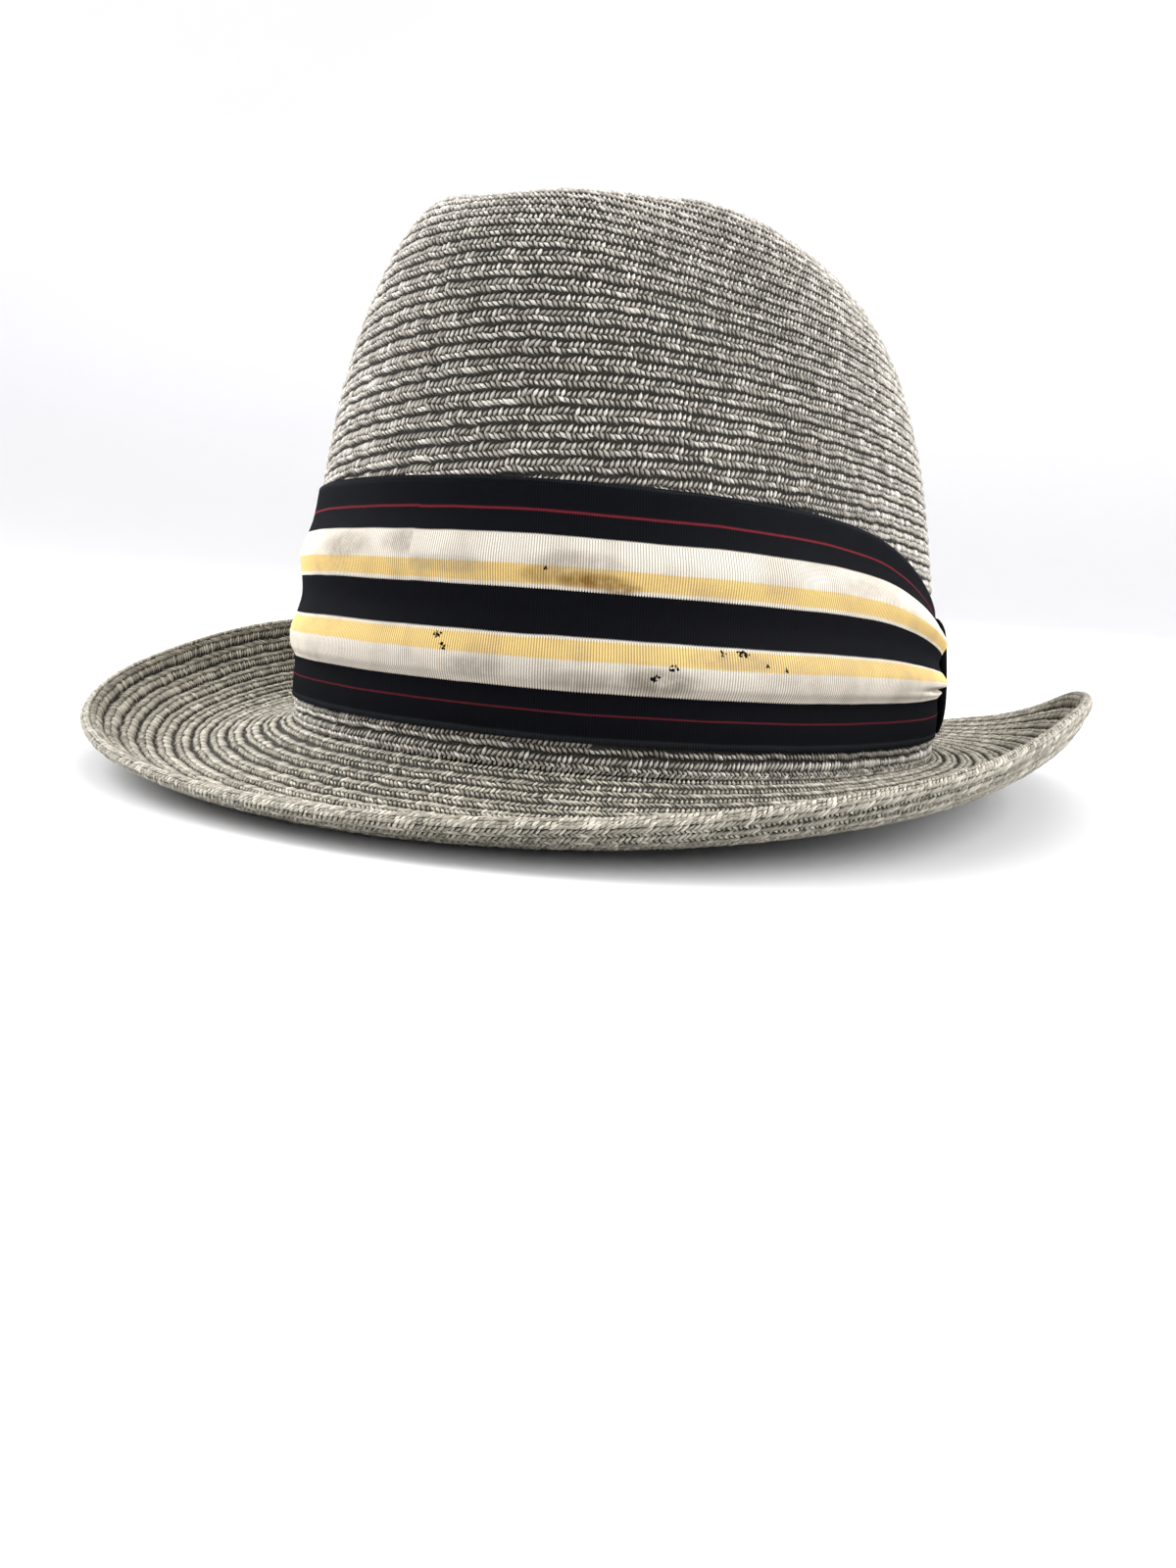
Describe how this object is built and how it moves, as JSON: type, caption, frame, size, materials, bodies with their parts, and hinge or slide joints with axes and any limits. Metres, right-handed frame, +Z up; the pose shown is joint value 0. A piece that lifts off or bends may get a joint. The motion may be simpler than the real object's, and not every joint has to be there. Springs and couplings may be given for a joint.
{
  "type": "fedora hat",
  "caption": "Short-brim fedora of sewn grey-taupe braid with a creased, pinched crown, a brim curled up at the sides and a pleated striped ribbed ribbon.",
  "frame": {"origin": "middle of the hat's bounding box at the surface it rests on", "axes": "+Z up, the wearer's front along -Y, the wearer's left along +X"},
  "size_m": [0.2574, 0.3022, 0.1451],
  "materials": {
    "crown_braid": "sewn plaited braid, matte with a faint sheen",
    "brim_braid": "sewn plaited braid, matte with a faint sheen",
    "ribbon_stripes": "ribbed ribbon in black, off-white and straw yellow stripes, worn",
    "ribbon_black": "plain ribbed ribbon, black"
  },
  "bodies": {
    "root": {"crown": "crown_braid", "brim": "brim_braid", "ribbon_band": "ribbon_stripes", "ribbon_keeper": "ribbon_black"}
  },
  "joints": []
}
